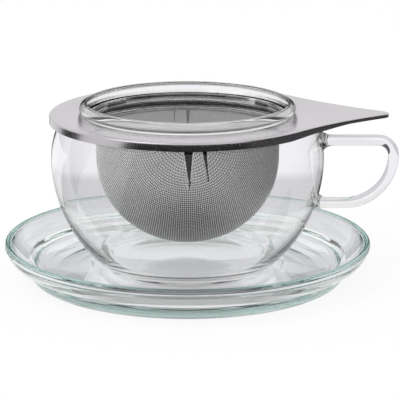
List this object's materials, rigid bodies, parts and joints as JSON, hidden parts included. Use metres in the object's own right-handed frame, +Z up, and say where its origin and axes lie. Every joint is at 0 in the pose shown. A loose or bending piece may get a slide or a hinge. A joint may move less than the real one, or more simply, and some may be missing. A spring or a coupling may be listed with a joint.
{
  "type": "glass tea cup with strainer",
  "caption": "Round glass tea cup with a rod handle, standing on a glass saucer, with a lift-out steel mesh strainer and a loose glass dish lid.",
  "frame": {"origin": "on the table under the saucer's foot, on the axis of the cup", "axes": "+Z up along the axis of the cup, +X towards the cup's handle and the strainer's tab"},
  "size_m": [0.1504, 0.14, 0.0677],
  "materials": {
    "saucer_glass": "pressed, clear with a faint green edge",
    "cup_glass": "blown, clear",
    "lid_glass": "pressed, clear",
    "plate_steel": "satin, finely brushed",
    "mesh_steel": "woven wire mesh, bright"
  },
  "bodies": {
    "saucer": {"saucer": "saucer_glass"},
    "cup": {"cup_bowl": "cup_glass", "cup_handle": "cup_glass"},
    "strainer": {"strainer_plate": "plate_steel", "strainer_collar": "plate_steel", "mesh_basket": "mesh_steel", "basket_band": "plate_steel"},
    "lid": {"lid": "lid_glass"}
  },
  "joints": [
    {"name": "cup_lift", "type": "slide", "parent": "saucer", "child": "cup", "axis": [0, 0, 1], "range_m": [0, 0.04]},
    {"name": "strainer_lift", "type": "slide", "parent": "cup", "child": "strainer", "axis": [0, 0, 1], "range_m": [0, 0.06]},
    {"name": "lid_lift", "type": "slide", "parent": "strainer", "child": "lid", "axis": [0, 0, 1], "range_m": [0, 0.03]}
  ]
}
